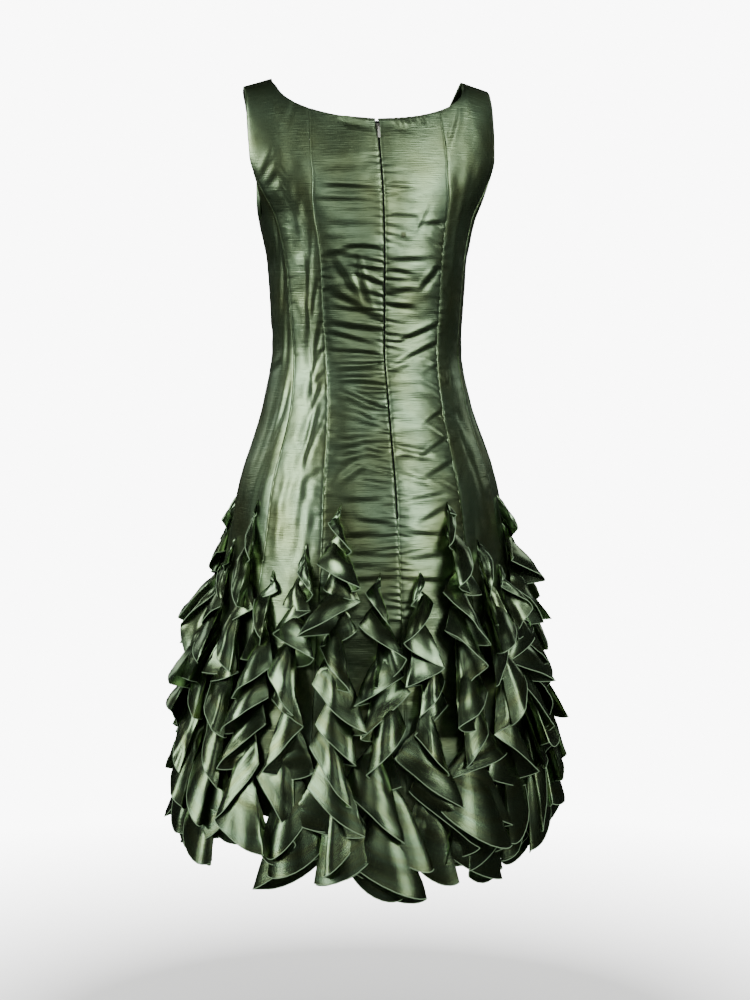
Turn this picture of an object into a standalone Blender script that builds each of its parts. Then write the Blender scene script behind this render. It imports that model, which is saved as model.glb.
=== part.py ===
"""A sleeveless satin dress in the shape that it keeps when it is worn, with no wearer in it.

Metres. X runs to the wearer's left, Y to the back and Z up. The origin lies midway between
the two shoulder seams, where the wearer's shoulders hold the dress up.

Seven panels run from the neckline to the hem with no waist seam. Twenty-six cascade ruffles
are sewn down the skirt from the hips to the hem, and a concealed zip closes the centre back.
"""

import math

import bmesh
import bpy
from mathutils import Matrix, Vector

# Cloth and gaps
CLOTH = 0.0012
RUFFLE_CLOTH = 0.001
SEAM_GAP = 0.0003
ZIP_GAP = 0.0012
SEAT_GAP = 0.0003

# Straps and neckline
STRAP_INNER = 0.141
STRAP_MIDDLE = 0.161
SHOULDER_SLOPE = 0.3
SLOPE_FADES_AT = 0.12
NECK_DEPTH_BACK = 0.054
NECK_DEPTH_FRONT = 0.088
NECK_ROUNDNESS = 2.3

# Armholes: angles are in degrees round the body from the centre back
ARMHOLE_WIDEST_DROP = 0.09
ARMHOLE_BOTTOM_DROP = 0.195
ARMHOLE_REACH = 26.0
SIDE_SEAM_TOP_ANGLE = 66.0

# Hem of the panels: it is level in front and dips towards the centre back
HEM_FRONT_DROP = 0.97
HEM_DIP = 0.075
HEM_DIP_SHARPNESS = 1.5

# The form that the dress is cut for. Drop is the distance below the shoulder seam. The form is
# narrower in front of the armholes than behind them.
SECTION_COLUMNS = ("drop", "back_width", "front_width", "back", "front", "squareness")
SECTIONS = (
    (0.000, 0.200, 0.200, 0.000, 0.000, 2.30),
    (0.008, 0.200, 0.199, 0.024, 0.020, 2.30),
    (0.030, 0.201, 0.193, 0.044, 0.038, 2.30),
    (0.060, 0.201, 0.184, 0.060, 0.056, 2.30),
    (0.105, 0.199, 0.174, 0.078, 0.078, 2.30),
    (0.150, 0.180, 0.165, 0.092, 0.094, 2.30),
    (0.195, 0.157, 0.157, 0.099, 0.108, 2.30),
    (0.260, 0.144, 0.144, 0.103, 0.124, 2.30),
    (0.320, 0.140, 0.140, 0.101, 0.112, 2.30),
    (0.375, 0.138, 0.138, 0.102, 0.096, 2.20),
    (0.460, 0.152, 0.152, 0.126, 0.104, 2.10),
    (0.580, 0.190, 0.190, 0.167, 0.130, 2.00),
    (0.640, 0.200, 0.200, 0.180, 0.142, 2.00),
    (0.820, 0.234, 0.234, 0.207, 0.172, 2.00),
    (0.950, 0.254, 0.254, 0.223, 0.194, 2.00),
    (1.120, 0.262, 0.262, 0.238, 0.212, 2.00),
)

# Where the seams run, in degrees round the body from the centre back
SEAM_COLUMNS = ("drop", "back_princess", "side", "front_princess")
SEAMS = (
    (0.045, 25.5, 66.0, 152.0),
    (0.120, 27.5, 66.0, 152.0),
    (0.200, 35.0, 65.0, 150.0),
    (0.375, 34.3, 60.0, 147.0),
    (0.460, 32.2, 57.0, 148.0),
    (0.600, 31.0, 58.0, 149.7),
    (1.120, 30.0, 60.0, 150.0),
)

# Ruffles: each hangs from a line down the skirt and swings from side to side as it falls
RUFFLES_EACH_SIDE = 12
RUFFLE_STEP_ANGLE = 180.0 / RUFFLES_EACH_SIDE
RUFFLE_START_DROPS = (0.690, 0.595, 0.650)
RUFFLE = {"top_width": 0.032, "hem_width": 0.118, "top_fold": 0.052, "hem_fold": 0.108}
RUFFLE_END_RISE = {"left": 0.006, "right": 0.028}
RUFFLE_SAMPLES_PER_FOLD = 4
RUFFLE_SECTOR_SHARE = 0.44
# Share of the ruffle's width that its free edge stands out and hangs down
SWUNG_OUT, SWUNG_DOWN = 0.34, 0.78
LEVEL_OUT, LEVEL_DOWN = 0.42, 0.84

# Panel grids: a column lies under each ruffle and at each corner of the top edge
PANEL_ROWS = 18
ARMHOLE_ROWS = 5
ROW_CROWDING = 1.6
ARMHOLE_BOTTOM_AT = 0.375
ARMHOLE_FRONT_AT = 0.62
STRAP_OUTER_AT = 0.72
STRAP_INNER_AT = 0.88

# Concealed zip
ZIP_START_DROP = 0.056
ZIP_LENGTH = 0.56
CHAIN_HALF_WIDTH = 0.005
CHAIN_THICKNESS = 0.001
CHAIN_DEPTH = 0.0008
SLIDER_DROP = 0.066
SLIDER = {"width": 0.0052, "length": 0.009, "height": 0.0016}
EAR = {"thickness": 0.0009, "length": 0.003, "height": 0.0028}
PIN_RADIUS = 0.0005
EYE_INNER, EYE_OUTER, EYE_WIDTH = 0.00085, 0.0015, 0.0024
PULL = {"length": 0.018, "neck": 0.0024, "width": 0.0046, "thickness": 0.0010}
PULL_LEAN = math.radians(8.0)

SATIN = {"name": "satin", "colour": (0.105, 0.155, 0.095, 1.0), "roughness": 0.34, "metallic": 0.2}
METAL = {"name": "zip_metal", "colour": (0.62, 0.62, 0.60, 1.0), "roughness": 0.25, "metallic": 1.0}
TAPE = {"name": "zip_tape", "colour": (0.018, 0.026, 0.018, 1.0), "roughness": 0.7, "metallic": 0.0}


def read_table(rows, columns, name, drop):
    """The value of one column at a drop, on a smooth curve through the table's rows."""
    at = columns.index(name)
    drops = [row[0] for row in rows]
    values = [row[at] for row in rows]
    if drop <= drops[0]:
        return values[0]
    if drop >= drops[-1]:
        return values[-1]
    i = max(k for k in range(len(rows) - 1) if drops[k] <= drop)

    def slope(k):
        """Zero at a peak, so that the curve never swings past a row."""
        if k in (0, len(rows) - 1):
            near = min(k, len(rows) - 2)
            return (values[near + 1] - values[near]) / (drops[near + 1] - drops[near])
        before = (values[k] - values[k - 1]) / (drops[k] - drops[k - 1])
        after = (values[k + 1] - values[k]) / (drops[k + 1] - drops[k])
        return 2 * before * after / (before + after) if before * after > 0 else 0.0

    step = drops[i + 1] - drops[i]
    f = (drop - drops[i]) / step
    return (
        values[i] * (2 * f**3 - 3 * f**2 + 1)
        + values[i + 1] * (3 * f**2 - 2 * f**3)
        + slope(i) * step * (f**3 - 2 * f**2 + f)
        + slope(i + 1) * step * (f**3 - f**2)
    )


def section(name, drop):
    return read_table(SECTIONS, SECTION_COLUMNS, name, drop)


def seam_angle(name, drop):
    return read_table(SEAMS, SEAM_COLUMNS, name, drop)


def across_of(angle, drop):
    """Sideways distance of the cloth from the middle, at an angle from the centre back."""
    share = abs(math.sin(math.radians(angle))) ** (2 / section("squareness", drop))
    half_width = section("back_width" if math.cos(math.radians(angle)) >= 0 else "front_width", drop)
    return math.copysign(half_width * share, math.sin(math.radians(angle)))


def angle_of(across, drop):
    """The angle from the centre back, on the back half, of a sideways distance."""
    share = min(1.0, across / section("back_width", drop)) ** (section("squareness", drop) / 2)
    return math.degrees(math.asin(share))


def form_point(angle, drop):
    """A point of the form that the cloth lies on."""
    turned = math.cos(math.radians(angle))
    deep = section("back" if turned >= 0 else "front", drop)
    x = across_of(angle, drop)
    y = math.copysign(deep * abs(turned) ** (2 / section("squareness", drop)), turned)
    fade = max(0.0, 1 - drop / SLOPE_FADES_AT) ** 2
    rise = SHOULDER_SLOPE * (STRAP_MIDDLE - max(abs(x), STRAP_INNER)) * fade
    return Vector((x, y, rise - drop))


def form_frame(angle, drop):
    """Sideways, downward and outward directions along the form."""
    step = 0.002
    side = (form_point(angle + 1, drop) - form_point(angle - 1, drop)).normalized()
    down = (form_point(angle, drop + step) - form_point(angle, drop - step)).normalized()
    out = side.cross(down).normalized()
    return side, down, out


def hem_drop(angle):
    towards_back = (1 + math.cos(math.radians(angle))) / 2
    return HEM_FRONT_DROP + HEM_DIP * towards_back**HEM_DIP_SHARPNESS


def neck_drop(angle, depth):
    """Drop of the neckline at an angle."""
    drop = depth
    for _ in range(8):
        share = min(1.0, abs(across_of(angle, drop)) / STRAP_INNER)
        drop = depth * (1 - share**2) ** (1 / NECK_ROUNDNESS)
    return drop


def mix(a, b, share):
    return tuple(p + (q - p) * share for p, q in zip(a, b))


def seam_line(name, top):
    """A seam from the top edge to the hem: angle and drop at a share of the way down."""

    def at(v):
        drop = top + (hem_drop(seam_angle(name, HEM_FRONT_DROP)) - top) * v
        return seam_angle(name, drop), drop

    return at


def armhole_point(swing):
    """The armhole's edge: swing is -90 at the back, 0 at the bottom and 90 at the front."""
    drop = ARMHOLE_WIDEST_DROP + (ARMHOLE_BOTTOM_DROP - ARMHOLE_WIDEST_DROP) * math.cos(math.radians(swing))
    return 90 + ARMHOLE_REACH * math.sin(math.radians(swing)), drop


BACK_SHARES = [(i / PANEL_ROWS) ** ROW_CROWDING for i in range(PANEL_ROWS + 1)]
FRONT_SHARES = [(v - BACK_SHARES[ARMHOLE_ROWS]) / (1 - BACK_SHARES[ARMHOLE_ROWS]) for v in BACK_SHARES[ARMHOLE_ROWS:]]
SIDE_TOP_SWING = -math.degrees(math.asin((90 - SIDE_SEAM_TOP_ANGLE) / ARMHOLE_REACH))
SIDE_TOP_DROP = armhole_point(SIDE_TOP_SWING)[1]
STRAP_INNER_ANGLE = angle_of(STRAP_INNER, 0.0)


def neck_seam(name, depth):
    """A princess seam, which starts where it meets the neckline."""
    top = depth
    for _ in range(8):
        top = neck_drop(seam_angle(name, top), depth)
    return seam_line(name, top)


def back_edge_line(v):
    """The side back's outer edge: down the armhole, then down the side seam."""
    seam_from = BACK_SHARES[ARMHOLE_ROWS]
    if v >= seam_from:
        return side_seam((v - seam_from) / (1 - seam_from))
    drop = SIDE_TOP_DROP * v / seam_from
    swing = math.acos(max(0.0, drop - ARMHOLE_WIDEST_DROP) / (ARMHOLE_BOTTOM_DROP - ARMHOLE_WIDEST_DROP))
    return 90 - ARMHOLE_REACH * math.sin(swing), drop


def neckline(start, end, depth):
    def at(u):
        angle = start + (end - start) * u
        return angle, neck_drop(angle, depth)

    return at


def side_back_top(u):
    """Along the neckline to the strap, then along the shoulder seam."""
    if u < 0.5:
        return neckline(back_princess(0)[0], STRAP_INNER_ANGLE, NECK_DEPTH_BACK)(u * 2)
    return mix((STRAP_INNER_ANGLE, 0.0), (90 - ARMHOLE_REACH, 0.0), u * 2 - 1)


def side_front_top(u):
    """Round the armhole, along the shoulder seam, then down the front neckline."""
    strap_inner = 180 - STRAP_INNER_ANGLE
    strap_outer = 90 + ARMHOLE_REACH
    if u <= ARMHOLE_BOTTOM_AT:
        return armhole_point(SIDE_TOP_SWING * (1 - u / ARMHOLE_BOTTOM_AT))
    if u <= ARMHOLE_FRONT_AT:
        return armhole_point(90 * (u - ARMHOLE_BOTTOM_AT) / (ARMHOLE_FRONT_AT - ARMHOLE_BOTTOM_AT))
    if u <= STRAP_OUTER_AT:
        up = (u - ARMHOLE_FRONT_AT) / (STRAP_OUTER_AT - ARMHOLE_FRONT_AT)
        return strap_outer, ARMHOLE_WIDEST_DROP * (1 - up)
    if u <= STRAP_INNER_AT:
        along = (u - STRAP_OUTER_AT) / (STRAP_INNER_AT - STRAP_OUTER_AT)
        return mix((strap_outer, 0.0), (strap_inner, 0.0), along)
    along = (u - STRAP_INNER_AT) / (1 - STRAP_INNER_AT)
    return neckline(strap_inner, front_princess(0)[0], NECK_DEPTH_FRONT)(along)


def hem_edge(left, right):
    def at(u):
        start, end = left(1)[0], right(1)[0]
        angle = start + (end - start) * u
        return angle, hem_drop(angle)

    return at


def patch(left, right, top):
    """Angle and drop inside a panel, blended from its four edges."""
    bottom = hem_edge(left, right)

    def at(u, v):
        sides = mix(left(v), right(v), u)
        ends = mix(top(u), bottom(u), v)
        corners = mix(mix(left(0), right(0), u), mix(left(1), right(1), u), v)
        return tuple(s + e - c for s, e, c in zip(sides, ends, corners))

    return at


def ruffle_angles():
    return [RUFFLE_STEP_ANGLE * (k + 0.5) for k in range(RUFFLES_EACH_SIDE)]


def columns_for(panel):
    """Shares across a panel where a grid column is needed."""
    start, end = panel.left(1)[0], panel.right(1)[0]
    every = ruffle_angles() + [360 - a for a in ruffle_angles()]
    under = [(a - start) / (end - start) for a in every]
    return sorted([0.0, *panel.corners, *[u for u in under if 0 < u < 1], 1.0])


def centre_line(v):
    top = neck_drop(0, NECK_DEPTH_BACK)
    return 0.0, top + (hem_drop(0) - top) * v


def mirrored_line(line):
    return lambda v: (360 - line(v)[0], line(v)[1])


back_princess = neck_seam("back_princess", NECK_DEPTH_BACK)
front_princess = neck_seam("front_princess", NECK_DEPTH_FRONT)
front_neckline = neckline(front_princess(0)[0], 360 - front_princess(0)[0], NECK_DEPTH_FRONT)
side_seam = seam_line("side", SIDE_TOP_DROP)


class Panel:
    """A panel's edges, its rows' shares down it and the shares across it that have a corner."""

    def __init__(self, left, right, top, rows, corners=()):
        self.left, self.right, self.top = left, right, top
        self.rows, self.corners = rows, corners
        self.inside = patch(left, right, top)


CENTER_BACK = Panel(centre_line, back_princess, neckline(0, back_princess(0)[0], NECK_DEPTH_BACK), BACK_SHARES)
SIDE_BACK = Panel(back_princess, back_edge_line, side_back_top, BACK_SHARES, (0.5,))
SIDE_FRONT = Panel(
    side_seam, front_princess, side_front_top, FRONT_SHARES, (ARMHOLE_FRONT_AT, STRAP_OUTER_AT, STRAP_INNER_AT)
)
CENTER_FRONT = Panel(front_princess, mirrored_line(front_princess), front_neckline, FRONT_SHARES)
LEFT_PANELS = {"center_back": CENTER_BACK, "side_back": SIDE_BACK, "side_front": SIDE_FRONT}


def material(spec):
    made = bpy.data.materials.new(spec["name"])
    made.use_nodes = True
    made.diffuse_color = spec["colour"]
    shader = made.node_tree.nodes["Principled BSDF"]
    shader.inputs["Base Color"].default_value = spec["colour"]
    shader.inputs["Roughness"].default_value = spec["roughness"]
    shader.inputs["Metallic"].default_value = spec["metallic"]
    return made


def add_object(name, mesh_data, finish, collection):
    obj = bpy.data.objects.new(name, mesh_data)
    collection.objects.link(obj)
    if finish:
        mesh_data.materials.append(finish)
    return obj


def grid_mesh(name, across, along, place):
    """A grid with its vertices moved to place(column, row)."""
    bm = bmesh.new()
    bmesh.ops.create_grid(bm, x_segments=across, y_segments=along, size=1.0)
    for vertex in bm.verts:
        column = round((vertex.co.x + 1) / 2 * across)
        row = round((1 - vertex.co.y) / 2 * along)
        vertex.co = place(column, row)
    mesh_data = bpy.data.meshes.new(name)
    bm.to_mesh(mesh_data)
    bm.free()
    return mesh_data


def thicken(obj, thickness, outward):
    """A wall on one side of the surface; outward is the way that the wall should grow."""
    mesh_data = obj.data
    faces = mesh_data.polygons
    facing = sum(face.normal.dot(outward(face.center)) * face.area for face in faces)
    if facing < 0:
        mesh_data.flip_normals()
    wall = obj.modifiers.new("wall", "SOLIDIFY")
    wall.thickness = thickness
    wall.offset = 1.0
    return obj


def away_from_axis(point):
    return Vector((point.x, point.y, 0.0))


def panel_object(name, panel, sign, finish, collection):
    """One cloth panel. Sign is 1 on the wearer's left and -1 on the right."""
    shares = columns_for(panel)
    last = len(shares) - 1
    starts_at_zip = panel is CENTER_BACK

    def place(column, row):
        angle, drop = panel.inside(shares[column], panel.rows[row])
        point = form_point(angle, drop)
        side, down, _ = form_frame(angle, max(drop, 0.004))
        if column == 0:
            point += side * (ZIP_GAP if starts_at_zip else SEAM_GAP) / 2
        elif column == last:
            point -= side * SEAM_GAP / 2
        if row == 0 and drop < 0.001:
            point.y += math.copysign(SEAM_GAP / 2, math.cos(math.radians(angle)))
        point.x *= sign
        return point

    mesh_data = grid_mesh(name, last, len(panel.rows) - 1, place)
    obj = add_object(name, mesh_data, finish, collection)
    return thicken(obj, CLOTH, away_from_axis)


def ruffle_line(angle):
    """The line that a ruffle is sewn along: points of the panel's own grid column."""
    for panel in (CENTER_BACK, SIDE_BACK, SIDE_FRONT, CENTER_FRONT):
        start, end = panel.left(1)[0], panel.right(1)[0]
        if start < angle < end:
            return [panel.inside((angle - start) / (end - start), v) for v in panel.rows]
    raise ValueError(f"no panel under a ruffle at {angle} degrees")


def on_line(line, drop):
    """Point, and directions, where a sewing line passes a drop."""
    i = max([k for k in range(len(line) - 1) if line[k][1] <= drop] or [0])
    share = (drop - line[i][1]) / (line[i + 1][1] - line[i][1])
    low, high = form_point(*line[i]), form_point(*line[i + 1])
    angle = line[i][0] + (line[i + 1][0] - line[i][0]) * share
    return low.lerp(high, share), form_frame(angle, drop), angle


def room_beside(index, drop):
    """Distance from one ruffle's line to the nearer of its neighbours at a drop."""
    here = on_line(ruffle_line(ruffle_angles()[index]), drop)[0]
    distances = []
    for step in (-1, 1):
        near = index + step
        if 0 <= near < RUFFLES_EACH_SIDE:
            there = on_line(ruffle_line(ruffle_angles()[near]), drop)[0]
        else:
            there = Vector((-here.x, here.y, here.z))
        distances.append((there - here).length)
    return min(distances)


def ruffle_object(side_name, index, finish, collection):
    """A cascade ruffle: sewn edge on the skirt, free edge swinging from side to side."""
    sign = 1 if side_name == "left" else -1
    line = ruffle_line(ruffle_angles()[index])
    start = RUFFLE_START_DROPS[index % len(RUFFLE_START_DROPS)]
    end = hem_drop(line[-1][0]) - RUFFLE_END_RISE[side_name]
    length = end - start
    growth = RUFFLE["hem_fold"] - RUFFLE["top_fold"]
    folds = length / growth * math.log(RUFFLE["hem_fold"] / RUFFLE["top_fold"])
    samples = round(folds * RUFFLE_SAMPLES_PER_FOLD)
    first_swing = (index + (0 if sign > 0 else 2)) % RUFFLE_SAMPLES_PER_FOLD

    def place(column, row):
        turn = row / samples * folds
        fold = RUFFLE["top_fold"] * math.exp(turn * growth / length)
        share = (fold - RUFFLE["top_fold"]) / growth
        drop = start + length * share
        point, (side, down, out), _ = on_line(line, drop)
        point = point + out * (CLOTH + SEAT_GAP + RUFFLE_CLOTH / 2)
        if column:
            width = RUFFLE["top_width"] + (RUFFLE["hem_width"] - RUFFLE["top_width"]) * share**0.8
            swing = math.sin((row + first_swing) * math.pi / 2)
            across = room_beside(index, drop) * RUFFLE_SECTOR_SHARE
            outward = SWUNG_OUT if abs(swing) > 0.5 else LEVEL_OUT
            downward = SWUNG_DOWN if abs(swing) > 0.5 else LEVEL_DOWN
            point = point + side * min(across, width) * swing + out * width * outward + down * width * downward
        point.x *= sign
        return point

    name = f"ruffle_{side_name}_{index + 1:02d}"
    mesh_data = grid_mesh(name, 1, samples, place)
    obj = add_object(name, mesh_data, finish, collection)
    wall = obj.modifiers.new("wall", "SOLIDIFY")
    wall.thickness = RUFFLE_CLOTH
    wall.offset = 0.0
    return obj


def zip_chain(finish, collection):
    """The closed chain behind the opening, in line with the centre back's edge."""
    line = [centre_line(v) for v in BACK_SHARES]
    inner = [drop for _, drop in line if ZIP_START_DROP < drop < ZIP_START_DROP + ZIP_LENGTH]
    drops = [ZIP_START_DROP, *inner, ZIP_START_DROP + ZIP_LENGTH]

    def place(column, row):
        point, (_, _, out), _ = on_line(line, drops[row])
        point = point - out * CHAIN_DEPTH
        point.x = (column - 0.5) * 2 * CHAIN_HALF_WIDTH
        return point

    mesh_data = grid_mesh("zip_chain", 1, len(drops) - 1, place)
    obj = add_object("zip_chain", mesh_data, finish, collection)
    return thicken(obj, CHAIN_THICKNESS, lambda point: -away_from_axis(point))


def box(bm, size, centre):
    made = bmesh.ops.create_cube(bm, size=1.0)["verts"]
    bmesh.ops.scale(bm, vec=size, verts=made)
    bmesh.ops.translate(bm, vec=centre, verts=made)
    return made


def cylinder_across(bm, radius, width, centre):
    made = bmesh.ops.create_cone(
        bm, cap_ends=True, segments=12, radius1=radius, radius2=radius, depth=width
    )["verts"]
    bmesh.ops.rotate(bm, matrix=Matrix.Rotation(math.pi / 2, 3, "Y"), verts=made)
    bmesh.ops.translate(bm, vec=centre, verts=made)
    return made


def helper(name, build, collection):
    """A shape for a Boolean, left out of the render."""
    bm = bmesh.new()
    build(bm)
    mesh_data = bpy.data.meshes.new(name)
    bm.to_mesh(mesh_data)
    bm.free()
    obj = add_object(name, mesh_data, None, collection)
    obj.hide_render = True
    obj.display_type = "WIRE"
    return obj


def combine(target, other, operation):
    step = target.modifiers.new(f"{operation.lower()}_{other.name}", "BOOLEAN")
    step.operation = operation
    step.object = other
    step.solver = "EXACT"


def zip_frame():
    """Where the slider sits: its local X is across, Y outward and Z up along the zip."""
    line = [centre_line(v) for v in BACK_SHARES]
    point, (side, down, out), _ = on_line(line, SLIDER_DROP)
    turn = Matrix((side, out, -down)).transposed().to_4x4()
    return Matrix.Translation(point + out * (CLOTH + SEAT_GAP)) @ turn


def pin_centre():
    return Vector((0.0, SLIDER["height"] + EAR["height"] - PIN_RADIUS * 2, 0.0))


def zip_slider(finish, collection, cutters):
    """Slider body with two ears and the crossbar that carries the pull."""
    seat = zip_frame()
    bm = bmesh.new()
    box(bm, (SLIDER["width"], SLIDER["height"], SLIDER["length"]), (0, SLIDER["height"] / 2, 0))
    mesh_data = bpy.data.meshes.new("zip_slider")
    bm.to_mesh(mesh_data)
    bm.free()
    slider = add_object("zip_slider", mesh_data, finish, collection)
    slider.matrix_world = seat
    overlap = 0.0004
    ear_size = (EAR["thickness"], EAR["height"] + overlap, EAR["length"])
    ear_height = SLIDER["height"] + (EAR["height"] - overlap) / 2
    for sign, side_name in ((-1, "right"), (1, "left")):
        across = sign * (SLIDER["width"] - EAR["thickness"]) / 2
        ear = helper(f"ear_{side_name}", lambda b, x=across: box(b, ear_size, (x, ear_height, 0)), cutters)
        ear.matrix_world = seat
        combine(slider, ear, "UNION")
    reach = SLIDER["width"] - EAR["thickness"]
    pin = helper("pin", lambda b: cylinder_across(b, PIN_RADIUS, reach, pin_centre()), cutters)
    pin.matrix_world = seat
    combine(slider, pin, "UNION")
    return slider


def zip_pull(finish, collection, cutters):
    """Pull tab with its eye round the slider's crossbar; its origin is on the hinge axis."""
    seat = zip_frame() @ Matrix.Translation(pin_centre()) @ Matrix.Rotation(-PULL_LEAN, 4, "X")
    bm = bmesh.new()
    cylinder_across(bm, EYE_OUTER, EYE_WIDTH, (0, 0, 0))
    mesh_data = bpy.data.meshes.new("zip_pull")
    bm.to_mesh(mesh_data)
    bm.free()
    pull = add_object("zip_pull", mesh_data, finish, collection)
    pull.matrix_world = seat

    def tab(b):
        made = box(b, (PULL["neck"], PULL["thickness"], PULL["length"]), (0, 0, -PULL["length"] / 2))
        for vertex in made:
            if vertex.co.z < -PULL["length"] / 2:
                vertex.co.x *= PULL["width"] / PULL["neck"]
        corners = [e for e in b.edges if abs(e.verts[0].co.y - e.verts[1].co.y) > PULL["thickness"] / 2]
        bmesh.ops.bevel(
            b,
            geom=[e for e in corners if e.verts[0].co.z < -PULL["length"] / 2],
            offset=PULL["width"] * 0.4,
            segments=3,
            profile=0.5,
            affect="EDGES",
        )

    plate = helper("pull_plate", tab, cutters)
    eye = helper("pull_eye", lambda b: cylinder_across(b, EYE_INNER, EYE_WIDTH * 2, (0, 0, 0)), cutters)
    for other, operation in ((plate, "UNION"), (eye, "DIFFERENCE")):
        other.matrix_world = seat
        combine(pull, other, operation)
    return pull


def clear_scene():
    for obj in list(bpy.data.objects):
        bpy.data.objects.remove(obj, do_unlink=True)


def new_collection(name):
    made = bpy.data.collections.new(name)
    bpy.context.scene.collection.children.link(made)
    return made


def main():
    clear_scene()
    dress = new_collection("satin_dress")
    cutters = new_collection("helpers")
    satin, metal, tape = material(SATIN), material(METAL), material(TAPE)
    for name, panel in LEFT_PANELS.items():
        panel_object(f"{name}_left", panel, 1, satin, dress)
        panel_object(f"{name}_right", panel, -1, satin, dress)
    panel_object("center_front", CENTER_FRONT, 1, satin, dress)
    for index in range(RUFFLES_EACH_SIDE):
        ruffle_object("left", index, satin, dress)
        ruffle_object("right", index, satin, dress)
    zip_chain(tape, dress)
    zip_slider(metal, dress, cutters)
    zip_pull(metal, dress, cutters)


main()
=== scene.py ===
import math
import random

import bmesh
import bpy
import numpy as np
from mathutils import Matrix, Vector


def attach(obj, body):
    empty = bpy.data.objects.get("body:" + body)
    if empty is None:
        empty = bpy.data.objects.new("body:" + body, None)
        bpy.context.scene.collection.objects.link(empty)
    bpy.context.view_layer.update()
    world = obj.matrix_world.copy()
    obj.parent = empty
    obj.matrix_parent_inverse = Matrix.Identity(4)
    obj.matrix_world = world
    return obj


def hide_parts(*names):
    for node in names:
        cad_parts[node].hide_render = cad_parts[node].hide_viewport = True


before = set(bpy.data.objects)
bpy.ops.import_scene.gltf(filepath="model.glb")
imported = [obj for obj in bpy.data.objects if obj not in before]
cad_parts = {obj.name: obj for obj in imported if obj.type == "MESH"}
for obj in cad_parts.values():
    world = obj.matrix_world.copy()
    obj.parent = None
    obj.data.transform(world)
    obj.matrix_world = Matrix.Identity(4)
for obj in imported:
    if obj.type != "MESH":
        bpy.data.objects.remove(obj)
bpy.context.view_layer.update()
print("frame loaded")

# The photo's camera is behind the dress, a little round towards its left side
photoCamera = {
    "azimuth": 166, "elevation": 4, "distance": 3.6, "aim": (0, 0, -0.57),
    "sensorHeight": 36, "lens": 88.58, "shift": (0.008, -0.022),
}


def aroundDress(azimuth, elevation, distance, aim):  # the point on that side of aim
    a, e = math.radians(azimuth), math.radians(elevation)
    return Vector(aim) + distance * Vector((math.sin(a) * math.cos(e), -math.cos(a) * math.cos(e), math.sin(e)))


def turnedTo(aim, place):
    return (Vector(aim) - place).to_track_quat("-Z", "Y").to_euler()


cameraData = bpy.data.cameras.new("photo_camera")
cameraData.sensor_fit = "VERTICAL"
cameraData.sensor_height = photoCamera["sensorHeight"]
cameraData.lens = photoCamera["lens"]
cameraData.shift_x, cameraData.shift_y = photoCamera["shift"]
camera = bpy.data.objects.new("photo_camera", cameraData)
camera.location = aroundDress(*[photoCamera[key] for key in ("azimuth", "elevation", "distance", "aim")])
camera.rotation_euler = turnedTo(photoCamera["aim"], camera.location)
bpy.context.collection.objects.link(camera)
bpy.context.scene.camera = camera
print("camera set")


def linearColour(text):
    parts = [int(text[i:i + 2], 16) / 255 for i in (1, 3, 5)]
    return (*[p / 12.92 if p <= 0.04045 else ((p + 0.055) / 1.055) ** 2.4 for p in parts], 1)


def addNode(tree, kind, settings=None, links=None):  # settings are sockets or properties, links are sockets
    node = tree.nodes.new(kind)
    for name, value in (settings or {}).items():
        if isinstance(name, int) or name in node.inputs:
            node.inputs[name].default_value = value
        else:
            setattr(node, name, value)
    for name, socket in (links or {}).items():
        tree.links.new(socket, node.inputs[name])
    return node


def newMaterial(name):
    material = bpy.data.materials.new(name)
    material.use_nodes = True
    return material, material.node_tree, material.node_tree.nodes["Principled BSDF"]


# Green satin with a taffeta hand: long smooth floats, so a metal-like sheen from pale green to near black.
# The ruffles are single cloth, pressed flat, so smoother and glossier; their colours are a little deeper as
# painted shade, for the shade they hang in
satinLook = {
    "panels": {"dyeAndShade": ("#8FA985", "#8B9A6C"), "roughness": 0.34, "slubDepth": 0.00035},
    # the ruffles' colours are deeper than the panels': painted shade
    "ruffles": {"dyeAndShade": ("#7E9776", "#7B895F"), "roughness": 0.26, "slubDepth": 0.00008},
    "metallic": 0.99, "patchSize": 0.11, "patchDetail": 3, "patchRange": (0.38, 0.68),
    "slubLength": 0.030, "slubWidth": 0.0015, "slubDetail": 2,
    "stain": "#4A4A30", "stainAt": (0.027, 0.218), "stainSize": 0.0042, "stainEdge": (1.15, 0.6),
    "stainDepth": 0.75,
}


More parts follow.
